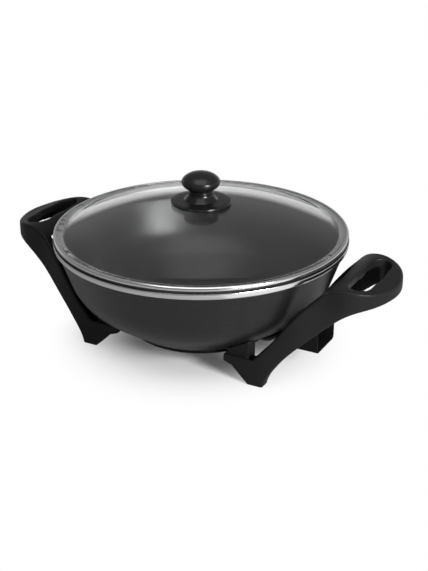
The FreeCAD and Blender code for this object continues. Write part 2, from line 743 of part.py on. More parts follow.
NODES = {
    "bowl": make_bowl,
    "rim_ring": make_rim_ring,
    "base_ring": make_base_ring,
    "base_cover": make_base_cover,
    "cover_screws": make_cover_screws,
    "heating_element": make_element,
    "insulating_pad": make_pad,
    "inlet_shroud": make_shroud,
    "terminal_plate": make_terminal_plate,
    "terminal_bushes": make_bushes,
    "power_pins": make_pins,
    "probe_tube": make_probe_tube,
    "shroud_screws": make_shroud_screws,
    "handle_right": make_handle,
    "handle_left": make_left_handle,
    "handle_screws": make_handle_screws,
    "handle_washers": make_handle_washers,
    "lid_glass": make_glass,
    "lid_band": make_band,
    "vent_eyelet": make_eyelet,
    "knob_skirt": make_knob_skirt,
    "knob_head": make_knob_head,
    "knob_insert": make_insert,
    "knob_screw": make_knob_screw,
    "knob_washer": make_knob_washer,
    "knob_seal": make_seal,
}

os.makedirs("parts", exist_ok=True)
for name, make in NODES.items():
    made = make()
    shape = Part.makeCompound(made) if isinstance(made, list) else made
    print(name, "solids", len(shape.Solids), "valid", shape.isValid(), "volume", round(shape.Volume))
    shape.exportStep("parts/" + name + ".step")
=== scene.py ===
# %% [markdown]
# # Electric wok with a loose glass lid
# The wok is a deep cast bowl that stands on two black mouldings, each a carrying loop and two legs in one. A domed
# glass lid with a steel band and a black knob lies on its rim. The measured solids of the wok are loaded first.
# Solids whose shape is right keep it and get a finish. Pieces that need softer edges or calmer reflections are
# modelled over them and take their place. Lengths are in metres, and outlines in millimetres times MM.

# %% Load the measured solids
import json
import math

import bpy
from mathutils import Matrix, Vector


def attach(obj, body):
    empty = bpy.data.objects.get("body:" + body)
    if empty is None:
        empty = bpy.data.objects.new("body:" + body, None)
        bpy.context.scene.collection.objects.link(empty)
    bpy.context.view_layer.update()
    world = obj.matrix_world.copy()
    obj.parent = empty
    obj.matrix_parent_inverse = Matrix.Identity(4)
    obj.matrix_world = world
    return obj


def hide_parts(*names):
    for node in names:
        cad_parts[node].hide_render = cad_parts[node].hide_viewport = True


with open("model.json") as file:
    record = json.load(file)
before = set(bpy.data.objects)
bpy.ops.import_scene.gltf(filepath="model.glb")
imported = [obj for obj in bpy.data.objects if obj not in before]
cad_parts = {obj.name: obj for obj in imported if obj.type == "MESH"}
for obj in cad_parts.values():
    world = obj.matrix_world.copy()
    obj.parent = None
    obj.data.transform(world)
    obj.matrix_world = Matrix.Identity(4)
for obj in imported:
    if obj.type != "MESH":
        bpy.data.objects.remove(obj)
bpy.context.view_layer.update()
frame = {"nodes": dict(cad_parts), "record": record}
MM = 0.001

# %% [markdown]
# ## Camera
# The wok is seen from the front right, a little above the lid. A wide lens close by would stretch the near handle,
# and a very long one would flatten the bowl. A fairly long lens about 1.4 m away keeps the rim a calm ellipse.
# The camera comes first, because everything else is judged through it.

# %% Place the camera
CAMERA_PLACE = (0.628, -1.143, 0.662)
CAMERA_TILT = 65.65
CAMERA_TURN = 28.1
LENS = 72.95


def add_camera():
    """Camera in front of the legs, turned toward the rim."""
    bpy.ops.object.camera_add(location=CAMERA_PLACE,
                              rotation=(math.radians(CAMERA_TILT), 0, math.radians(CAMERA_TURN)))
    camera = bpy.context.object
    camera.name = "view_from_front_right"
    camera.data.lens = LENS
    bpy.context.scene.camera = camera
    bpy.context.scene.view_settings.view_transform = "Standard"
    return camera


camera = add_camera()
print("camera:", camera.name, "lens", camera.data.lens)

# %% [markdown]
# ## Helpers for shader nodes
# A finish is a small network of nodes. It could be drawn by hand in the shader editor; written down, it can be
# read and changed in one place. These helpers keep the later cells short: they add a node, plug something into it,
# do a sum, carry a value from one range to another, or blend two colours.

# %% Shader helpers
def add_node(tree, kind, **settings):
    """New node in a shader tree, with its settings."""
    node = tree.nodes.new(kind)
    for name, value in settings.items():
        setattr(node, name, value)
    return node


def plug(tree, source, socket):
    """Link an output to a socket, or write a plain value into it."""
    if isinstance(source, bpy.types.NodeSocket):
        tree.links.new(source, socket)
    else:
        socket.default_value = source


def calculate(tree, operation, first, second=0.0):
    """Result of a sum on two values."""
    node = add_node(tree, "ShaderNodeMath", operation=operation)
    plug(tree, first, node.inputs[0])
    plug(tree, second, node.inputs[1])
    return node.outputs[0]


def remap(tree, value, low, high, to_low=0.0, to_high=1.0):
    """Value carried smoothly from one range to another."""
    node = add_node(tree, "ShaderNodeMapRange", interpolation_type="SMOOTHSTEP")
    for socket, number in zip(node.inputs, (value, low, high, to_low, to_high)):
        plug(tree, number, socket)
    return node.outputs[0]


def blend_colour(tree, mask, first, second):
    """Colour between two greys or colours, by a mask."""
    node = add_node(tree, "ShaderNodeMix", data_type="RGBA")
    plug(tree, mask, node.inputs[0])
    plug(tree, first, node.inputs[6])
    plug(tree, second, node.inputs[7])
    return node.outputs[2]


def grey(level, warmth=0.0):
    """Colour of a near-neutral surface; warmth above 0 leans to red."""
    return (level * (1 + warmth), level, level * (1 - warmth), 1)


print("shader helpers ready")

# %% [markdown]
# ### Places and directions
# Wear and shadow depend on where a point lies: how far from the axis, how high, on which side. A painted mask could
# say so too, but it would need an unwrapped mesh. The place itself is used instead, as a vector.

# %% Directions and distances
def texture_place(tree, kind="Object"):
    """Place on a piece, or direction in the room, as a vector."""
    return add_node(tree, "ShaderNodeTexCoord").outputs[kind]


def vector_sum(tree, operation, first, second=(0, 0, 0)):
    """Node that works on two vectors."""
    node = add_node(tree, "ShaderNodeVectorMath", operation=operation)
    plug(tree, first, node.inputs[0])
    plug(tree, second, node.inputs[1])
    return node.outputs


def flatten(tree, place):
    """The vector with its height taken out."""
    return vector_sum(tree, "MULTIPLY", place, (1, 1, 0))["Vector"]


def length(tree, vector):
    """Length of a vector."""
    return vector_sum(tree, "LENGTH", vector)["Value"]


def facing(tree, place, azimuth):
    """1 where a vector points toward an azimuth in degrees, -1 where it points away from it."""
    unit = vector_sum(tree, "NORMALIZE", flatten(tree, place))["Vector"]
    toward = (math.cos(math.radians(azimuth)), math.sin(math.radians(azimuth)), 0)
    return vector_sum(tree, "DOT_PRODUCT", unit, toward)["Value"]


print("direction helpers ready")

# %% [markdown]
# ## Floor and background
# The wok stands on a white table in a white room. A floor lit until it is white would also light the wok from
# below and wash it out. So the floor is an ordinary matt one, which keeps the soft shadow under the bowl, and
# fades into plain white away from it. Light Path tells which rays see that white: those of the camera and those
# that pass through glass. Rays mirrored in the wok see the table matt grey, with one painted pool of light: on the
# side of the lamp on the right and away from the wok, the table glows plain white where that lamp would light it.
# This painted light gives the steel ring its grey length and its one bright stretch.

# %% Shaders of the floor
def matt_shader(tree, level):
    """Matt shader of one grey."""
    matt = add_node(tree, "ShaderNodeBsdfDiffuse")
    matt.inputs["Color"].default_value = grey(level)
    return matt.outputs[0]


def glow_shader(tree, strength):
    """White that shines by itself."""
    glow = add_node(tree, "ShaderNodeEmission")
    glow.inputs["Strength"].default_value = strength
    return glow.outputs[0]


def add_shaders(tree, first, second):
    """Sum of two shaders."""
    both = add_node(tree, "ShaderNodeAddShader")
    plug(tree, first, both.inputs[0])
    plug(tree, second, both.inputs[1])
    return both.outputs[0]


def blend_shader(tree, mask, first, second):
    """Shader between two shaders, by a mask."""
    blend = add_node(tree, "ShaderNodeMixShader")
    for socket, source in zip(blend.inputs, (mask, first, second)):
        plug(tree, source, socket)
    return blend.outputs[0]


print("floor shaders ready")

# %% White floor that keeps a soft shadow
FLOOR_SIZE = 8
FLOOR_WHITE = 0.84
FLOOR_LIFT = 0.06
SHADOW_START = 0.07
SHADOW_END = 0.2
TABLE_MIRRORED = 0.38
# Painted light for mirrored rays: the side and the distance from the wok where the table glows white.
BRIGHT_SIDE = -24
BRIGHT_EDGE = (0.9, 0.935)
BRIGHT_START = 0.24
BRIGHT_END = 0.3


def paint_floor():
    """Paint of the floor, by the kind of ray that meets it."""
    paint = bpy.data.materials.new("floor_white")
    paint.use_nodes = True
    tree = paint.node_tree
    tree.nodes.clear()
    place = texture_place(tree)
    distance = length(tree, place)
    matt = matt_shader(tree, FLOOR_WHITE)
    white = glow_shader(tree, 1.0)
    lifted = add_shaders(tree, matt, glow_shader(tree, FLOOR_LIFT))
    seen = blend_shader(tree, remap(tree, distance, SHADOW_START, SHADOW_END), lifted, white)
    # Painted pool of light: a glowing white sector of the table, seen only in mirrors, stands in for the lamp's
    # light.
    painted_light_sector = calculate(tree, "MULTIPLY", remap(tree, facing(tree, place, BRIGHT_SIDE), *BRIGHT_EDGE),
                           remap(tree, distance, BRIGHT_START, BRIGHT_END))
    mirrored = blend_shader(tree, painted_light_sector, matt_shader(tree, TABLE_MIRRORED), white)
    path = add_node(tree, "ShaderNodeLightPath")
    direct = calculate(tree, "MAXIMUM", path.outputs["Is Camera Ray"], path.outputs["Is Transmission Ray"])
    bounced = blend_shader(tree, path.outputs["Is Glossy Ray"], matt, mirrored)
    output = add_node(tree, "ShaderNodeOutputMaterial")
    plug(tree, blend_shader(tree, direct, bounced, seen), output.inputs[0])
    return paint


def add_floor():
    """Big white plane under the wok."""
    bpy.ops.mesh.primitive_plane_add(size=FLOOR_SIZE, location=(0, 0, 0))
    floor = bpy.context.object
    floor.name = "studio_floor"
    floor.data.materials.append(paint_floor())
    return floor


floor = add_floor()
print("floor:", floor.name, "shadow fades from", SHADOW_START, "to", SHADOW_END, "m")

# %% [markdown]
# ## Room
# The room is white to the camera and lights the wok evenly from all round. A picture of a studio could do that,
# but a few nodes need no file and are easier to steer. Polished things mirror a white wall near the horizon,
# dimmer on the near side, and a dim ceiling above it, which gives steel and glass their bright and dark bands.

# %% White room
ROOM_LIGHT = 0.32
CEILING_MIRRORED = 0.25
WALL_TOP = 0.09
CEILING_START = 0.21
DIM_SIDE = -95
DIM_WALL = 0.15
DIM_EDGE = (-0.3, 0.4)


def make_room():
    """World that is white behind the wok and dimmer overhead."""
    room = bpy.data.worlds.new("studio_room")
    bpy.context.scene.world = room
    room.use_nodes = True
    tree = room.node_tree
    tree.nodes.clear()
    direction = texture_place(tree, "Generated")
    height = add_node(tree, "ShaderNodeSeparateXYZ")
    plug(tree, direction, height.inputs[0])
    wall = remap(tree, facing(tree, direction, DIM_SIDE), *DIM_EDGE, 1.0, DIM_WALL)
    mirrored = remap(tree, height.outputs["Z"], WALL_TOP, CEILING_START, wall, CEILING_MIRRORED)
    path = add_node(tree, "ShaderNodeLightPath")
    polished = calculate(tree, "MAXIMUM", path.outputs["Is Glossy Ray"], path.outputs["Is Transmission Ray"])
    level = add_node(tree, "ShaderNodeMix", data_type="FLOAT")
    plug(tree, polished, level.inputs[0])
    plug(tree, ROOM_LIGHT, level.inputs[2])
    plug(tree, mirrored, level.inputs[3])
    light = add_node(tree, "ShaderNodeBackground")
    light.inputs["Color"].default_value = grey(1.0)
    plug(tree, calculate(tree, "MAXIMUM", path.outputs["Is Camera Ray"], level.outputs[0]), light.inputs["Strength"])
    output = add_node(tree, "ShaderNodeOutputWorld")
    plug(tree, light.outputs[0], output.inputs[0])
    return room


room = make_room()
print("room light:", ROOM_LIGHT)

# %% [markdown]
# ## Lamps
# Bare lamps would draw hard shadows and tiny glints, so both lamps are soft boxes: lights behind a wide cloth,
# which an area lamp stands for. The large one above models the forms. The small one at the front right draws the
# soft round glow inside the bowl, because the coat mirrors it back to the camera from the far wall of the bowl.

# %% Soft boxes
def add_softbox(name, place, aim, size, power):
    """Square soft box turned toward a point of the wok."""
    bpy.ops.object.light_add(type="AREA", location=place)
    lamp = bpy.context.object
    lamp.name = name
    lamp.data.shape = "RECTANGLE"
    lamp.data.size = size
    lamp.data.size_y = size
    lamp.data.energy = power
    lamp.rotation_euler = (Vector(aim) - Vector(place)).to_track_quat("-Z", "Y").to_euler()
    return lamp


lamps = [add_softbox("softbox_above", (0.2, -0.42, 1.5), (0, 0, 0.1), 1.3, 11),
         add_softbox("softbox_front_right", (1.26, -0.54, 0.59), (-0.12, 0.1, 0.09), 0.44, 27)]
print("lamps:", [lamp.name for lamp in lamps])

# %% [markdown]
# ## Effects that several finishes share
# Grain, flecks, marks, streaks and rubbed edges come back on several materials. Copying their nodes into each
# would work, but a change would then have to be made many times. So each effect is a shader node group: it has
# named inputs and outputs, is built once, and is placed in each finish with its own values. It gives out masks and
# values only; the shader itself stays in the finish.

# %% Start a shader group
def start_group(name, inputs, outputs):
    """Empty node group with its sockets; gives the tree and its input and output nodes."""
    tree = bpy.data.node_groups.new(name, "ShaderNodeTree")
    for label, value in inputs.items():
        socket = tree.interface.new_socket(name=label, in_out="INPUT", socket_type="NodeSocketFloat")
        socket.default_value = value
    for label in outputs:
        tree.interface.new_socket(name=label, in_out="OUTPUT", socket_type="NodeSocketFloat")
    return tree, add_node(tree, "NodeGroupInput"), add_node(tree, "NodeGroupOutput")


def object_noise(tree, scale, detail=3.0, rough=0.55):
    """Noise fixed to the piece, as a value around 0.5."""
    noise = add_node(tree, "ShaderNodeTexNoise")
    plug(tree, texture_place(tree), noise.inputs["Vector"])
    plug(tree, scale, noise.inputs["Scale"])
    plug(tree, detail, noise.inputs["Detail"])
    plug(tree, rough, noise.inputs["Roughness"])
    return noise.outputs[0]


print("group helpers ready")

# %% [markdown]
# ### Moulded grain
# Moulds for plastic grips are etched, which leaves a fine pebbled skin. The pebbles are far too small to model, so
# two noises of different size give their height, and the finish feeds it to a Bump node.

# %% Group: moulded grain
COARSE_SCALE = 0.31
FINE_SHARE = 0.7


def make_grain_group():
    """Height of fine pebbles."""
    tree, given, result = start_group("moulded_grain", {"Scale": 1500.0}, ["Height"])
    fine = object_noise(tree, given.outputs["Scale"], 2.0)
    coarse = object_noise(tree, calculate(tree, "MULTIPLY", given.outputs["Scale"], COARSE_SCALE), 1.0)
    total = calculate(tree, "ADD", calculate(tree, "MULTIPLY", fine, FINE_SHARE),
                      calculate(tree, "MULTIPLY", coarse, 1 - FINE_SHARE))
    plug(tree, total, result.inputs["Height"])
    return tree


grain_group = make_grain_group()
print("group:", grain_group.name)

# %% [markdown]
# ### Flecks
# A sprayed non-stick coat holds mineral flecks. A noise with its peaks cut off would give cloudy spots. A Voronoi
# texture gives grains with clear edges: each of its cells has a random brightness, and only the brightest few
# cells are let through as flecks.

# %% Group: flecks
FLECK_EDGE = (0.15, 0.5)


def make_fleck_group():
    """Mask of small flecks; Share is the part of all cells that shows one."""
    tree, given, result = start_group("coat_flecks", {"Scale": 600.0, "Share": 0.1}, ["Mask", "Height"])
    cells = add_node(tree, "ShaderNodeTexVoronoi")
    plug(tree, texture_place(tree), cells.inputs["Vector"])
    plug(tree, given.outputs["Scale"], cells.inputs["Scale"])
    parts = add_node(tree, "ShaderNodeSeparateColor")
    plug(tree, cells.outputs["Color"], parts.inputs[0])
    limit = calculate(tree, "SUBTRACT", 1.0, given.outputs["Share"])
    chosen = calculate(tree, "GREATER_THAN", parts.outputs[0], limit)
    core = remap(tree, cells.outputs["Distance"], *FLECK_EDGE, 1.0, 0.0)
    plug(tree, calculate(tree, "MULTIPLY", chosen, core), result.inputs["Mask"])
    plug(tree, core, result.inputs["Height"])
    return tree


fleck_group = make_fleck_group()
print("group:", fleck_group.name)

# %% [markdown]
# ### Handling marks
# No surface in use is equally glossy all over: fingers and cloths leave dull and bright patches. A painted map
# could hold them, but a large, soft noise does the same on a piece of any shape. It has little detail, because a
# finer one leaves stains with ragged edges on a smooth coat.

# %% Group: handling marks
PATCH_DETAIL = 1.0
PATCH_ROUGHNESS = 0.4
PATCH_RANGE = (0.25, 0.75)


def make_marks_group():
    """Roughness that drifts in soft patches."""
    tree, given, result = start_group("handling_marks", {"Scale": 20.0, "Low": 0.3, "High": 0.5},
                                      ["Roughness", "Mask"])
    noise = object_noise(tree, given.outputs["Scale"], PATCH_DETAIL, PATCH_ROUGHNESS)
    patches = remap(tree, noise, *PATCH_RANGE)
    span = calculate(tree, "SUBTRACT", given.outputs["High"], given.outputs["Low"])
    level = calculate(tree, "ADD", given.outputs["Low"], calculate(tree, "MULTIPLY", span, patches))
    plug(tree, level, result.inputs["Roughness"])
    plug(tree, patches, result.inputs["Mask"])
    return tree


marks_group = make_marks_group()
print("group:", marks_group.name)

# %% [markdown]
# ### Spun streaks
# A ring that is polished while it turns keeps hair-fine lines round its axis. A wave texture would make them even
# and mechanical. Here the distance from the axis and the height are stretched far more than the way round, so that
# a noise runs into lines that follow the ring. The noise has a fourth dimension, which lets it close without a seam.

# %% Group: spun streaks
STREAK_LENGTHS = 12.0
STREAK_DETAIL = 2.0
STREAK_RANGE = (0.3, 0.7)


def make_streak_group():
    """Lines round the upright axis."""
    tree, given, result = start_group("spun_streaks", {"Fineness": 2500.0}, ["Mask", "Height"])
    place = texture_place(tree)
    parts = add_node(tree, "ShaderNodeSeparateXYZ")
    plug(tree, place, parts.inputs[0])
    radius = length(tree, flatten(tree, place))
    stretched = add_node(tree, "ShaderNodeCombineXYZ")
    plug(tree, calculate(tree, "MULTIPLY", radius, given.outputs["Fineness"]), stretched.inputs[0])
    plug(tree, calculate(tree, "MULTIPLY", parts.outputs["Z"], given.outputs["Fineness"]), stretched.inputs[1])
    plug(tree, calculate(tree, "MULTIPLY", parts.outputs["X"], STREAK_LENGTHS), stretched.inputs[2])
    noise = add_node(tree, "ShaderNodeTexNoise", noise_dimensions="4D")
    plug(tree, stretched.outputs[0], noise.inputs["Vector"])
    plug(tree, calculate(tree, "MULTIPLY", parts.outputs["Y"], STREAK_LENGTHS), noise.inputs["W"])
    noise.inputs["Scale"].default_value = 1.0
    noise.inputs["Detail"].default_value = STREAK_DETAIL
    plug(tree, remap(tree, noise.outputs[0], *STREAK_RANGE), result.inputs["Mask"])
    plug(tree, noise.outputs[0], result.inputs["Height"])
    return tree


streak_group = make_streak_group()
print("group:", streak_group.name)

# %% [markdown]
# ### Rubbed edges
# Edges are touched and rubbed most, so they turn smoother and a little paler. They could be painted by hand, but
# Pointiness already tells how much a surface bends outward. A noise breaks the band up, so that it never looks
# drawn.

# %% Group: rubbed edges
BREAK_RANGE = (0.3, 0.6)
BREAK_LEAST = 0.35


def make_rub_group():
    """Mask of worn outer edges."""
    tree, given, result = start_group("rubbed_edges", {"From": 0.52, "To": 0.6, "Scale": 90.0}, ["Mask"])
    bend = add_node(tree, "ShaderNodeNewGeometry")
    worn = remap(tree, bend.outputs["Pointiness"], given.outputs["From"], given.outputs["To"])
    broken = remap(tree, object_noise(tree, given.outputs["Scale"]), *BREAK_RANGE, BREAK_LEAST, 1.0)
    plug(tree, calculate(tree, "MULTIPLY", worn, broken), result.inputs["Mask"])
    return tree


rub_group = make_rub_group()
print("group:", rub_group.name)

# %% [markdown]
# ## Starting a finish
# Separate shaders for paint, metal and glass would each need their own care. One Principled shader can be all of
# them, so every finish starts from it. What is the same all over the surface is written straight on the shader's
# sockets; what changes over the surface comes from the groups above.

# %% Start a finish
REFRACTION = 1.5
finishes = {}


def start_finish(slot, metallic=0.0, specular=0.5):
    """New material for a slot; gives its tree and its shader."""
    material = bpy.data.materials.new(slot + "_finish")
    material.use_nodes = True
    tree = material.node_tree
    shader = tree.nodes["Principled BSDF"]
    shader.inputs["Metallic"].default_value = metallic
    shader.inputs["Specular IOR Level"].default_value = specular
    shader.inputs["IOR"].default_value = REFRACTION
    finishes[slot] = material
    return tree, shader


def place_group(tree, group, **values):
    """Group node in a finish, with its own values."""
    node = add_node(tree, "ShaderNodeGroup", node_tree=group)
    for name, value in values.items():
        plug(tree, value, node.inputs[name])
    return node.outputs


def add_bump(tree, shader, height, depth_mm, strength=1.0):
    """Relief of the given depth; a second call adds to the first."""
    bump = add_node(tree, "ShaderNodeBump")
    bump.inputs["Distance"].default_value = depth_mm * MM
    bump.inputs["Strength"].default_value = strength
    plug(tree, height, bump.inputs["Height"])
    if shader.inputs["Normal"].is_linked:
        plug(tree, shader.inputs["Normal"].links[0].from_socket, bump.inputs["Normal"])
    plug(tree, bump.outputs[0], shader.inputs["Normal"])


print("finish helpers ready")

# %% [markdown]
# ## Finish: non-stick coat of the bowl
# The bowl is cast aluminium under a sprayed charcoal coat. The coat is satin, holds fine mineral flecks, and is a
# little rough to the touch, so a light shows in it as a soft, sparkling glow and never as a sharp picture. A lighter
# colour would show the same grey, but flat; here nearly all of the grey is light mirrored softly by a very dark coat.

# %% Non-stick coat
COAT_DARK = grey(0.0035)
COAT_PALE = grey(0.0055)
COAT_FLECK = grey(0.042)
FINE_FLECKS = 0.5


def finish_coat():
    """Dark satin coat with flecks of two sizes."""
    tree, shader = start_finish("coated_aluminium", specular=0.44)
    flecks = place_group(tree, fleck_group, Scale=900.0, Share=0.10)
    fine = place_group(tree, fleck_group, Scale=2100.0, Share=0.22)
    marks = place_group(tree, marks_group, Scale=9.0, Low=0.27, High=0.35)
    grain = place_group(tree, grain_group, Scale=1300.0)
    ground = blend_colour(tree, marks["Mask"], COAT_DARK, COAT_PALE)
    fleck_mask = calculate(tree, "MAXIMUM", flecks["Mask"], calculate(tree, "MULTIPLY", fine["Mask"], FINE_FLECKS))
    plug(tree, blend_colour(tree, fleck_mask, ground, COAT_FLECK), shader.inputs["Base Color"])
    plug(tree, marks["Roughness"], shader.inputs["Roughness"])
    add_bump(tree, shader, grain["Height"], 0.05, 0.6)
    add_bump(tree, shader, fine["Height"], 0.02, 0.5)


finish_coat()
print("finished:", list(finishes))

# %% [markdown]
# ## Finish: polished steel
# The band of the lid and the ring round the rim are rolled from stainless strip and polished as they turn. A plain
# mirror would look like chrome; the lines of the polish run round the ring and draw a lamp out into a streak. The
# flange that the glass covers is left as rolled, so it shows through the border of the dome as a calm, duller grey.
# One finish does both: the distance from the axis tells where the polish begins.

# %% Polished steel
POLISH_FROM = 0.1761
POLISH_FULL = 0.1765
ROLLED_DULLNESS = 0.3
STEEL_LOW = grey(0.72, -0.01)
STEEL_HIGH = grey(0.79)
ROLLED_TONE = grey(0.1)


def finish_steel():
    """Streaked polish outside, rolled surface inside."""
    tree, shader = start_finish("polished_steel", metallic=1.0)
    radius = length(tree, flatten(tree, texture_place(tree)))
    as_rolled = remap(tree, radius, POLISH_FROM, POLISH_FULL, ROLLED_DULLNESS, 0.0)
    polished = remap(tree, radius, POLISH_FROM, POLISH_FULL)
    streaks = place_group(tree, streak_group, Fineness=2600.0)
    marks = place_group(tree, marks_group, Scale=26.0, Low=0.15, High=0.21)
    sheen = blend_colour(tree, streaks["Mask"], STEEL_LOW, STEEL_HIGH)
    plug(tree, blend_colour(tree, as_rolled, sheen, ROLLED_TONE), shader.inputs["Base Color"])
    plug(tree, calculate(tree, "ADD", marks["Roughness"], as_rolled), shader.inputs["Roughness"])
    add_bump(tree, shader, calculate(tree, "MULTIPLY", streaks["Height"], polished), 0.003, 0.15)


finish_steel()
print("finished:", list(finishes))

# %% [markdown]
# ## Finish: black mouldings
# The handles and legs are moulded in a heat-proof black plastic with a fine satin skin, the knob in the same plastic
# from a smoother mould. Fingers polish the edges of the loops, and the flat faces keep soft patches of slightly
# different gloss. Both differ in numbers only, so one function makes both.

# %% Black moulding
PALE_PATCH = 1.35
PALE_EDGE = 2.6
SMOOTHER_EDGE = -0.1


def finish_moulding(slot, base, gloss, grain_scale, grain_depth, specular):
    """Black plastic; gloss is its lowest and highest roughness."""
    tree, shader = start_finish(slot, specular=specular)
    grain = place_group(tree, grain_group, Scale=grain_scale)
    marks = place_group(tree, marks_group, Scale=22.0, Low=gloss[0], High=gloss[1])
    rubbed = place_group(tree, rub_group, From=0.53, To=0.62, Scale=120.0)
    ground = blend_colour(tree, marks["Mask"], grey(base), grey(base * PALE_PATCH))
    plug(tree, blend_colour(tree, rubbed["Mask"], ground, grey(base * PALE_EDGE)), shader.inputs["Base Color"])
    smoother = calculate(tree, "MULTIPLY", rubbed["Mask"], SMOOTHER_EDGE)
    plug(tree, calculate(tree, "ADD", marks["Roughness"], smoother), shader.inputs["Roughness"])
    add_bump(tree, shader, grain["Height"], grain_depth, 0.6)


finish_moulding("black_moulding", base=0.008, gloss=(0.36, 0.46), grain_scale=1700.0, grain_depth=0.045,
                specular=0.12)
finish_moulding("black_gloss_moulding", base=0.007, gloss=(0.2, 0.27), grain_scale=2600.0, grain_depth=0.008,
                specular=0.3)
print("finished:", list(finishes))

# %% [markdown]
# ## Finish: enamelled sheet
# The box of the inlet, the collar and the cover are black enamelled sheet. Plain black would look like a hole under
# the bowl. Enamel shows a slight orange-peel wave, which one soft noise gives, and thins out along sharp edges.

# %% Enamelled sheet
ENAMEL_DARK = grey(0.004)
ENAMEL_PALE = grey(0.006)
ENAMEL_EDGE = grey(0.09)


def finish_sheet():
    """Black enamel with a slight wave."""
    tree, shader = start_finish("black_sheet", specular=0.09)
    peel = object_noise(tree, 420.0, 1.0)
    marks = place_group(tree, marks_group, Scale=40.0, Low=0.22, High=0.36)
    rubbed = place_group(tree, rub_group, From=0.54, To=0.66, Scale=300.0)
    ground = blend_colour(tree, marks["Mask"], ENAMEL_DARK, ENAMEL_PALE)
    plug(tree, blend_colour(tree, rubbed["Mask"], ground, ENAMEL_EDGE), shader.inputs["Base Color"])
    plug(tree, marks["Roughness"], shader.inputs["Roughness"])
    add_bump(tree, shader, peel, 0.03, 0.4)


finish_sheet()
print("finished:", list(finishes))

# %% [markdown]
# ## Finishes: small metal parts
# Nickel on the pins, zinc on the screws, brass in the knob and the dull sheath of the element differ in colour and
# gloss only, so one function makes all four: a drifting tone, a drifting roughness and a fine turned grain.

# %% Small metals
def finish_metal(slot, dark, light, gloss, scale):
    """Plain metal between two colours."""
    tree, shader = start_finish(slot, metallic=1.0)
    marks = place_group(tree, marks_group, Scale=scale, Low=gloss[0], High=gloss[1])
    streaks = place_group(tree, streak_group, Fineness=5200.0)
    tone = calculate(tree, "MULTIPLY", calculate(tree, "ADD", marks["Mask"], streaks["Mask"]), 0.5)
    plug(tree, blend_colour(tree, tone, dark, light), shader.inputs["Base Color"])
    plug(tree, marks["Roughness"], shader.inputs["Roughness"])
    add_bump(tree, shader, streaks["Height"], 0.01, 0.4)


finish_metal("pin_metal", grey(0.55, 0.02), grey(0.72, 0.01), (0.14, 0.26), 160.0)
finish_metal("plated_screw", grey(0.34, -0.02), grey(0.5, -0.01), (0.28, 0.42), 260.0)
finish_metal("brass_insert", (0.45, 0.3, 0.1, 1), (0.62, 0.44, 0.18, 1), (0.25, 0.4), 200.0)
finish_metal("element_sheath", grey(0.07, 0.04), grey(0.13, 0.06), (0.42, 0.6), 70.0)
print("finished:", list(finishes))

# %% [markdown]
# ## Finishes: ceramic, fibre and silicone
# These sit inside and are dull. The bushes are chalky white, the insulating sheet is pressed from fibres that show
# as a cloudy felt, and the seal is soft and black. Fibres could be modelled as hair, but the sheet lies hidden under
# the bowl, so a cloudy tone and a deeper grain are enough.

# %% Dull insulating stuffs
def finish_dull(slot, dark, light, gloss, scale, relief, depth):
    """Dull material with a cloudy tone and a soft relief."""
    tree, shader = start_finish(slot, specular=0.3)
    marks = place_group(tree, marks_group, Scale=scale, Low=gloss[0], High=gloss[1])
    grain = place_group(tree, grain_group, Scale=relief)
    tone = calculate(tree, "MULTIPLY", calculate(tree, "ADD", marks["Mask"], grain["Height"]), 0.5)
    plug(tree, blend_colour(tree, tone, dark, light), shader.inputs["Base Color"])
    plug(tree, marks["Roughness"], shader.inputs["Roughness"])
    add_bump(tree, shader, grain["Height"], depth, 0.8)


finish_dull("ceramic", (0.62, 0.6, 0.55, 1), (0.74, 0.72, 0.67, 1), (0.55, 0.7), 120.0, 2400.0, 0.03)
finish_dull("fibre", (0.36, 0.33, 0.28, 1), (0.5, 0.47, 0.41, 1), (0.85, 0.95), 60.0, 500.0, 0.25)
finish_dull("silicone", grey(0.012), grey(0.018), (0.6, 0.75), 90.0, 1200.0, 0.02)
print("finished:", list(finishes))

# %% [markdown]
# ## Finish: toughened glass
# The dome is clear glass with a faint grey-green body, and very faint wiping marks dull it in patches. A see-through
# colour would be quicker, but it would not bend what lies behind the border. So the dome is real glass, and only
# where a lamp's shadow is worked out does Light Path swap it for a plain see-through shader, because light that must
# bend on its way would leave the bowl too dark.

# %% Toughened glass
GLASS_DARK = (0.96, 0.97, 0.965, 1)
GLASS_PALE = (0.975, 0.98, 0.978, 1)
GLASS_SHADOW = (0.88, 0.89, 0.885, 1)


def finish_glass():
    """Clear glass with a light shadow."""
    tree, shader = start_finish("clear_glass", specular=0.42)
    shader.inputs["Transmission Weight"].default_value = 1.0
    marks = place_group(tree, marks_group, Scale=16.0, Low=0.0, High=0.012)
    plug(tree, blend_colour(tree, marks["Mask"], GLASS_DARK, GLASS_PALE), shader.inputs["Base Color"])
    plug(tree, marks["Roughness"], shader.inputs["Roughness"])
    clear = add_node(tree, "ShaderNodeBsdfTransparent")
    clear.inputs["Color"].default_value = GLASS_SHADOW
    path = add_node(tree, "ShaderNodeLightPath")
    seen = blend_shader(tree, path.outputs["Is Shadow Ray"], shader.outputs[0], clear.outputs[0])
    plug(tree, seen, tree.nodes["Material Output"].inputs[0])


finish_glass()
print("finished:", list(finishes))

# %% [markdown]
# ## Dressing the measured solids
# Every solid names the slot it takes its finish from. They could be dressed one by one by hand, but the loop below
# can't forget any. The pieces that are modelled later take their finish as they are made.

# %% Dress the solids
def dress_solids():
    """Give each measured solid the finish of its slot."""
    slots = {part["node"]: part["material_slot"] for part in frame["record"]["subparts"]}
    for name, solid in frame["nodes"].items():
        for place in solid.material_slots:
            place.material = finishes[slots[name]]
    return slots


node_slots = dress_solids()
print("dressed:", len(node_slots), "solids")
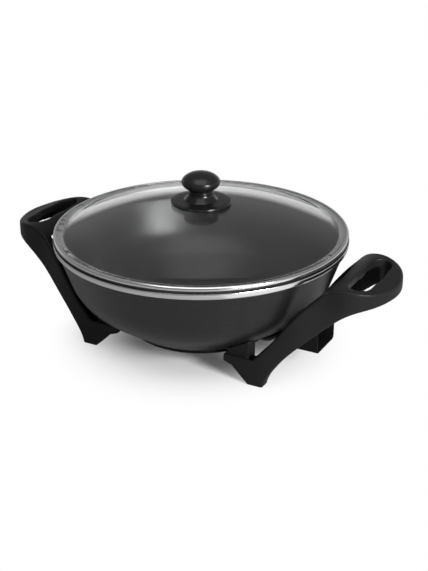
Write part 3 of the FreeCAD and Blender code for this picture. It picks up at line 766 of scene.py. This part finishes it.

# %% [markdown]
# ## Helpers for modelling
# An operator works on everything that is selected, so each step first clears the selection. A mesh could also be
# written point by point; the operators are used instead, because they are what a hand would do on the screen. A
# piece is finished in the same way each time: its modifiers are applied, the object is put back at the origin, it
# gets its finish, it is hung on the body that carries it, and the solid it stands for is hidden.

# %% Modelling helpers
def deselect_all():
    """Leave edit mode and clear the selection."""
    if bpy.context.object and bpy.context.object.mode != "OBJECT":
        bpy.ops.object.mode_set(mode="OBJECT")
    bpy.ops.object.select_all(action="DESELECT")


def pick(piece):
    """Make a piece the only one selected, and active."""
    deselect_all()
    piece.select_set(True)
    bpy.context.view_layer.objects.active = piece


def edit_all(piece, operator, **settings):
    """Use an edit-mode operator on the whole mesh of a piece."""
    pick(piece)
    bpy.ops.object.mode_set(mode="EDIT")
    bpy.ops.mesh.select_all(action="SELECT")
    operator(**settings)
    bpy.ops.object.mode_set(mode="OBJECT")


def join(pieces):
    """Join pieces into the first of them."""
    deselect_all()
    for piece in pieces:
        piece.select_set(True)
    bpy.context.view_layer.objects.active = pieces[0]
    bpy.ops.object.join()
    return pieces[0]


def modify(piece, kind, **settings):
    """Add a modifier to a piece and apply it."""
    pick(piece)
    bpy.ops.object.modifier_add(type=kind)
    modifier = piece.modifiers[-1]
    for name, value in settings.items():
        setattr(modifier, name, value)
    bpy.ops.object.modifier_apply(modifier=modifier.name)


def hand_over(piece, name, body, slot, node, crease):
    """Name, finish and attach a piece whose mesh is done; edges flatter than the crease are shaded smooth."""
    pick(piece)
    bpy.ops.object.transform_apply(location=True, rotation=True, scale=True)
    bpy.ops.object.shade_smooth_by_angle(angle=math.radians(crease))
    piece.name = name
    piece.data.name = name
    piece.data.materials.clear()
    piece.data.materials.append(finishes[slot])
    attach(piece, body)
    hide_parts(node)
    print(name, "faces:", len(piece.data.polygons))


print("modelling helpers ready")

# %% [markdown]
# ## Turned pieces
# Band, ring, dome, knob and vent are all round, so they are made as on a lathe. The Spin operator could sweep an
# outline round, but it leaves a seam to be closed. Here a circle is added, then extruded and resized ring by ring
# along an outline of radius and height. Many sides keep the mirrored lines calm. An outline that comes back to its
# start is a closed ring; one that ends on the axis is closed there in a point.

# %% Lathe
LATHE_SIDES = 256
ON_AXIS = 0.0005
MERGE = 0.002


def turn_outline(outline, sides=LATHE_SIDES):
    """Solid of revolution about the upright axis; outline is (radius, height) in mm."""
    deselect_all()
    rings = [(max(radius, ON_AXIS), height) for radius, height in outline]
    bpy.ops.mesh.primitive_circle_add(vertices=sides, radius=rings[0][0] * MM, location=(0, 0, rings[0][1] * MM))
    piece = bpy.context.object
    bpy.ops.object.transform_apply(location=True)
    bpy.ops.object.mode_set(mode="EDIT")
    for (radius, height), (next_radius, next_height) in zip(rings, rings[1:]):
        bpy.ops.mesh.extrude_edges_move(
            TRANSFORM_OT_translate={"value": (0, 0, (next_height - height) * MM)})
        factor = next_radius / radius
        bpy.ops.transform.resize(value=(factor, factor, 1), center_override=(0, 0, 0))
    edit_all(piece, bpy.ops.mesh.remove_doubles, threshold=MERGE * MM)
    edit_all(piece, bpy.ops.mesh.normals_make_consistent, inside=False)
    return piece


def arc_points(start, end, bulge, steps):
    """Points of a shallow arc between two outline points; bulge is its height in the middle."""
    across, up = end[0] - start[0], end[1] - start[1]
    chord = math.hypot(across, up)
    points = []
    for step in range(steps + 1):
        part = step / steps
        push = 4 * bulge * part * (1 - part)
        points.append((start[0] + across * part + up / chord * push, start[1] + up * part - across / chord * push))
    return points


print("lathe ready, sides:", LATHE_SIDES)

# %% [markdown]
# ## Steel band of the lid
# The band is one strip of steel folded round the edge of the glass: a skirt that centres the lid in the bowl, a
# flange that lies on the lip, and a hem that grips the glass. A plain ring would do from afar, but glass shows the
# folds, so the whole section is turned. Its outer face is rolled slightly round, which gives the thin bright line
# all along it.

# %% Lid band
BAND_OUTER = arc_points((177.55, 144.45), (176.9, 148.85), 0.85, 8)
BAND_SKIRT = [(166.8, 144.8), (166.35, 144.6), (166.2, 144.2), (166.2, 137.4), (166.35, 137.2), (166.65, 137.2),
              (166.8, 137.4), (166.8, 143.8), (166.95, 144.1), (167.3, 144.2), (176.9, 144.2)]
BAND_HEM = [(176.4, 149.1), (174.6, 149.1), (174.3, 149.0), (174.2, 148.8), (174.3, 148.55), (176.8, 148.5),
            (176.8, 144.8), (166.8, 144.8)]
band = turn_outline([*BAND_SKIRT, *BAND_OUTER, *BAND_HEM])
hand_over(band, "steel_lid_band", "lid", "polished_steel", "lid_band", crease=50)

# %% [markdown]
# ## Steel ring round the rim
# A rolled ring hides the edge of the casting. A torus would be too round, as the real ring is a flat strip. So an
# outline is turned that leans outward a little and is barely round. Its upper edge is turned in and down, so that
# the black lip of the bowl shows as a clean dark line between it and the band.

# %% Rim ring
RING_OUTER = arc_points((178.1, 135.2), (178.5, 141.2), 0.45, 8)
ring = turn_outline([(176.6, 140.2), (176.6, 135.0), (177.7, 135.0), *RING_OUTER, (178.35, 141.35), (178.05, 141.25),
                     (177.6, 140.7), (176.9, 140.3), (176.6, 140.2)])
hand_over(ring, "steel_rim_ring", "base", "polished_steel", "rim_ring", crease=50)

# %% [markdown]
# ## Glass dome
# The dome is a pressed disc of glass: a shallow cap that ends in a flat border, which the band grips. A slice of a
# sphere would have no thickness and no border. So its section is turned, with both faces as arcs of one large
# sphere, whose heights are worked out from its radius. The bore for the knob's screw is part of the section.

# %% Glass dome
DOME_RADIUS = 425.87
DOME_CROWN = 182.0
GLASS_THICKNESS = 3.6
DOME_FOOT = 165.8
BORE = 2.8
CAP_RINGS = 22


def dome_height(radius, drop):
    """Height of the dome at a radius; drop is the depth below its outer face."""
    return DOME_CROWN - DOME_RADIUS + math.sqrt(DOME_RADIUS ** 2 - radius ** 2) - drop


def dome_arc(drop):
    """Outline of one face of the cap, from the bore to the border."""
    radii = [BORE + (DOME_FOOT - BORE) * i / CAP_RINGS for i in range(CAP_RINGS + 1)]
    return [(radius, dome_height(radius, drop)) for radius in radii]


outer_face, inner_face = dome_arc(0.0), dome_arc(GLASS_THICKNESS)
border = [(166.6, 148.3), (167.6, 148.35), (175.5, 148.4), (176.2, 148.1), (176.5, 147.5), (176.5, 145.2),
          (176.2, 144.85), (175.8, 144.8), (167.6, 144.8), (166.6, 144.7)]
dome = turn_outline([*outer_face, *border, *reversed(inner_face), outer_face[0]])
print("dome points:", len(dome.data.vertices))

# %% [markdown]
# ### Bore of the vent
# The steam vent sits far out on the dome and needs a bore there. It lies off the axis, so it can't be turned, and
# cutting faces by hand would leave a ragged hole. A Boolean modifier takes a rod out of the glass, square to it.

# %% Bore of the vent
VENT_TOP = Vector((-86.31, 110.48, 158.9))
VENT_SQUARE = Vector((-0.20239, 0.25905, 0.94442))
VENT_BORE = 2.95
CUTTER_BELOW = 12
CUTTER_LENGTH = 20
CUTTER_SIDES = 48


def square_rod(start, direction):
    """Rod from a point along a direction, in mm; used as a cutter."""
    deselect_all()
    middle = start + direction * (CUTTER_LENGTH / 2)
    bpy.ops.mesh.primitive_cylinder_add(vertices=CUTTER_SIDES, radius=VENT_BORE * MM, depth=CUTTER_LENGTH * MM,
                                        location=middle * MM,
                                        rotation=direction.to_track_quat("Z", "Y").to_euler())
    return bpy.context.object


def cut_with(piece, cutter):
    """Take one shape out of another and remove the cutter."""
    modify(piece, "BOOLEAN", operation="DIFFERENCE", object=cutter, solver="EXACT")
    bpy.data.objects.remove(cutter)


cut_with(dome, square_rod(VENT_TOP - VENT_SQUARE * CUTTER_BELOW, VENT_SQUARE))
hand_over(dome, "glass_dome", "lid", "clear_glass", "lid_glass", crease=35)

# %% [markdown]
# ## Disc and cone of the knob
# Under the knob lies a thin moulded disc that rises to a cone and spreads the pull over the glass. A cylinder and a
# cone set together would meet in a knife edge; one turned outline gives the small rounds of the mould, the hollow
# for the end of the insert, and the bore of the screw in one go.

# %% Knob disc and cone
KNOB_SIDES = 192
DISC_RIM = arc_points((36.2, 181.75), (35.9, 184.6), 0.45, 6)
skirt = turn_outline([(2.8, 182.0), (14.0, 182.0), (35.5, 181.45), *DISC_RIM, (35.2, 184.82), (30.0, 185.02),
                      (24.0, 185.2), (20.6, 185.35), (20.1, 185.5), (19.7, 185.9), (18.4, 187.8), (16.9, 190.0),
                      (15.7, 191.75), (15.45, 192.2), (15.4, 193.2), (15.1, 193.6), (14.7, 193.7), (5.5, 193.7),
                      (5.5, 186.0), (2.8, 186.0), (2.8, 182.0)], KNOB_SIDES)
hand_over(skirt, "knob_disc_and_cone", "lid", "black_gloss_moulding", "knob_skirt", crease=38)

# %% [markdown]
# ## Knob
# The knob itself is a mushroom head on a short neck, where fine beads keep the fingers off the hot disc. Its outline
# is one soft curve. Many points would be needed to draw it; fewer are turned here, and a Subdivision Surface
# modifier rounds them.

# %% Knob head
HEAD_SIDES = 64
NECK_BEADS = [(13.8, 193.75), (14.1, 194.0), (14.25, 194.5), (13.95, 194.85), (13.95, 195.15), (14.3, 195.5),
              (14.35, 195.9), (14.05, 196.25), (14.1, 196.6), (14.45, 196.95), (14.55, 197.35), (14.5, 197.75)]
HEAD = [(15.2, 198.25), (16.7, 199.2), (18.9, 200.6), (21.1, 202.3), (22.7, 204.5), (23.4, 207.0), (23.0, 209.6),
        (21.5, 212.0), (19.0, 214.3), (15.6, 216.5), (11.2, 218.25), (5.8, 219.35), (0, 219.75)]
head = turn_outline([(0, 207.7), (4.45, 207.7), (4.5, 207.5), (4.5, 193.8), (4.6, 193.7), (13.0, 193.7), *NECK_BEADS,
                     *HEAD], HEAD_SIDES)
modify(head, "SUBSURF", levels=2, render_levels=2)
hand_over(head, "knob_grip", "lid", "black_gloss_moulding", "knob_head", crease=60)

# %% [markdown]
# ## Steam vent
# The vent is a small steel eyelet, riveted through the glass square to its slope. Turned straight in place, its
# rings would have to be slanted one by one. So it is turned upright like the rest, then laid over and moved.

# %% Steam vent
EYELET_SIDES = 64
EYELET_LOW = -4.66
EYELET_HIGH = 0.6
EYELET_SINK = Vector((0.12, -0.16, -0.57))
eyelet = turn_outline([(2.0, EYELET_HIGH - 0.25), (2.0, EYELET_LOW + 0.2), (2.2, EYELET_LOW), (4.5, EYELET_LOW),
                       (4.8, EYELET_LOW + 0.25), (4.75, EYELET_LOW + 0.55), (2.8, EYELET_LOW + 0.6), (2.8, 0.0),
                       (4.75, 0.02), (4.8, 0.2), (4.5, EYELET_HIGH - 0.08), (3.4, EYELET_HIGH),
                       (2.3, EYELET_HIGH), (2.0, EYELET_HIGH - 0.25)], EYELET_SIDES)
eyelet.rotation_euler = VENT_SQUARE.to_track_quat("Z", "Y").to_euler()
eyelet.location = (VENT_TOP + EYELET_SINK) * MM
hand_over(eyelet, "steam_vent_eyelet", "lid", "polished_steel", "vent_eyelet", crease=50)

# %% [markdown]
# ## Screws
# All screws are pan heads with a cross recess and go in from below. Their threads are hidden in the pieces they
# hold, so modelling a helix would be wasted: the shank is a plain rod. The head is a cylinder whose lower edge is
# rounded by a bevel, and two thin wedges are cut out of it crosswise.

# %% Screw
SCREW_SIDES = 48
SHANK_SIDES = 32
HEAD_ROUND = 0.5
LOWER_END = 0.9
RECESS_WIDTH, RECESS_TIP, RECESS_THIN = 0.72, 0.3, 0.22
RECESS_DEPTH, RECESS_CENTRE = 0.6, 0.72
SHANK_SINK = 0.2


def pan_head(radius, height):
    """Head that hangs below height 0, with a rounded lower edge."""
    deselect_all()
    bpy.ops.mesh.primitive_cylinder_add(vertices=SCREW_SIDES, radius=radius * MM, depth=height * MM,
                                        location=(0, 0, -height / 2 * MM))
    head = bpy.context.object
    bpy.ops.object.transform_apply(location=True)
    bpy.ops.object.mode_set(mode="EDIT")
    bpy.ops.mesh.select_all(action="DESELECT")
    bpy.ops.object.mode_set(mode="OBJECT")
    for edge in head.data.edges:
        edge.select = all(head.data.vertices[end].co.z < -height * LOWER_END * MM for end in edge.vertices)
    bpy.ops.object.mode_set(mode="EDIT")
    bpy.ops.mesh.select_mode(type="EDGE")
    bpy.ops.mesh.bevel(offset=height * HEAD_ROUND * MM, segments=6)
    bpy.ops.object.mode_set(mode="OBJECT")
    return head


def cross_screw(head_radius, head_height, shank_radius, shank_length):
    """Pan-head screw with a cross recess, on a plain shank."""
    screw = pan_head(head_radius, head_height)
    for turn in (0, math.pi / 2):
        bpy.ops.mesh.primitive_cone_add(vertices=4, radius1=head_radius * RECESS_WIDTH * MM,
                                        radius2=head_radius * RECESS_TIP * MM, depth=head_height * RECESS_DEPTH * MM,
                                        location=(0, 0, -head_height * RECESS_CENTRE * MM))
        wedge = bpy.context.object
        wedge.scale = (1, RECESS_THIN, 1)
        wedge.rotation_euler = (0, 0, turn)
        cut_with(screw, wedge)
    bpy.ops.mesh.primitive_cylinder_add(vertices=SHANK_SIDES, radius=shank_radius * MM, depth=shank_length * MM,
                                        location=(0, 0, (shank_length / 2 - SHANK_SINK) * MM))
    shank = bpy.context.object
    modify(screw, "BOOLEAN", operation="UNION", object=shank, solver="EXACT")
    bpy.data.objects.remove(shank)
    return screw


print("screw sides:", SCREW_SIDES)

# %% [markdown]
# ### Placing the screws
# The same screw sits in several places. Linked copies would share one mesh, and a mesh can hold only one place. So
# each copy gets its own, and the copies of a group become one piece. Sizes are the radius and height of the head,
# then the radius and length of the shank.

# %% Place the screws
SMALL_SCREW = (3.4, 1.8, 1.75, 9.2)
HANDLE_SCREW = (4.6, 3.2, 2.5, 15.4)
KNOB_SCREW = (4.8, 2.8, 2.5, 29.0)


def drop_copy(piece, place):
    """Copy of a piece with its own mesh, moved by (x, y, z) in mm."""
    copy = piece.copy()
    copy.data = piece.data.copy()
    bpy.context.scene.collection.objects.link(copy)
    copy.location = Vector(place) * MM
    pick(copy)
    bpy.ops.object.transform_apply(location=True)
    return copy


def place_screws(name, node, body, size, places):
    """Copies of a screw at their places, joined to one piece."""
    screw = cross_screw(*size)
    group = join([drop_copy(screw, place) for place in places])
    bpy.data.objects.remove(screw)
    hand_over(group, name, body, "plated_screw", node, crease=35)


place_screws("box_screws", "shroud_screws", "base", SMALL_SCREW, [(134, 30, 28.5), (134, -30, 28.5)])
place_screws("base_cover_screws", "cover_screws", "base", SMALL_SCREW,
             [(0, 30, 23.4), (-25.98, -15, 23.4), (25.98, -15, 23.4)])
place_screws("leg_screws", "handle_screws", "base", HANDLE_SCREW,
             [(89, 68, 27), (89, -68, 27), (-89, 68, 27), (-89, -68, 27)])
place_screws("knob_centre_screw", "knob_screw", "lid", KNOB_SCREW, [(0, 0, 175.56)])

# %% [markdown]
# ## Mains pins
# The two pins are nickel-plated rods with domed tips, over which a plug slides. A bevelled cylinder would do, but
# real tips are rounded well back. So each pin is turned, with a long arc at its end, and then laid down.

# %% Mains pins
PIN_SIDES = 48
PIN_RADIUS = 3.0
PIN_START, PIN_END = 136.4, 164.4
PIN_SPACING = 36
PIN_HEIGHT = 46.5
PIN_TIP = arc_points((PIN_RADIUS, PIN_END - 2.4), (0.6, PIN_END), 0.55, 8)


def turn_pin(side):
    """One pin, turned upright and then laid along the X axis."""
    pin = turn_outline([(0, PIN_START), (PIN_RADIUS - 0.2, PIN_START), (PIN_RADIUS, PIN_START + 0.2),
                        (PIN_RADIUS, PIN_END - 3.4), *PIN_TIP, (0, PIN_END)], PIN_SIDES)
    pin.rotation_euler = (0, math.radians(90), 0)
    pin.location = (0, side * PIN_SPACING / 2 * MM, PIN_HEIGHT * MM)
    pick(pin)
    bpy.ops.object.transform_apply(location=True, rotation=True)
    return pin


pins = join([turn_pin(side) for side in (1, -1)])
hand_over(pins, "nickel_pins", "base", "pin_metal", "power_pins", crease=40)

# %% [markdown]
# ## Handle mouldings
# Moulded plastic has no knife edges, and neither have the handles. A bevel over so many blended faces tears, and
# rounding each edge by hand takes long. So a copy of the solid has its loose triangles joined, is rebuilt in small
# even voxels and is smoothed, which rounds every edge as a mould does. The solid's own mesh stays as it is.

# %% Handle mouldings
VOXEL = 1.25
SMOOTH_STEPS = 3


def merged_copy(node):
    """Copy of a measured solid's mesh with its loose triangles joined."""
    piece = bpy.data.objects.new(node + "_copy", frame["nodes"][node].data.copy())
    bpy.context.scene.collection.objects.link(piece)
    pick(piece)
    bpy.ops.mesh.customdata_custom_splitnormals_clear()
    edit_all(piece, bpy.ops.mesh.remove_doubles, threshold=MERGE * MM)
    return piece


def moulded(node, name):
    """Handle moulding with soft edges."""
    piece = merged_copy(node)
    modify(piece, "REMESH", mode="VOXEL", voxel_size=VOXEL * MM, use_smooth_shade=True)
    modify(piece, "SMOOTH", factor=0.5, iterations=SMOOTH_STEPS)
    hand_over(piece, name, "base", "black_moulding", node, crease=180)


moulded("handle_right", "moulded_handle_right")
moulded("handle_left", "moulded_handle_left")

# %% [markdown]
# ## Sheet parts of the inlet
# The box of the inlet and the plate across it are pressed from sheet. Voxels would make their flat faces wavy. Here
# the copy keeps its flat faces, the triangles in each are dissolved, and a Bevel modifier breaks the edges, so that
# they catch a thin line of light.

# %% Sheet parts
EDGE_BREAK = 0.3


def pressed(node, name):
    """Sheet part with broken edges."""
    piece = merged_copy(node)
    edit_all(piece, bpy.ops.mesh.dissolve_limited, angle_limit=math.radians(1))
    modify(piece, "BEVEL", width=EDGE_BREAK * MM, segments=2, limit_method="ANGLE", angle_limit=math.radians(40),
           harden_normals=False)
    hand_over(piece, name, "base", node_slots[node], node, crease=40)


pressed("inlet_shroud", "inlet_box")
pressed("terminal_plate", "inlet_back_plate")
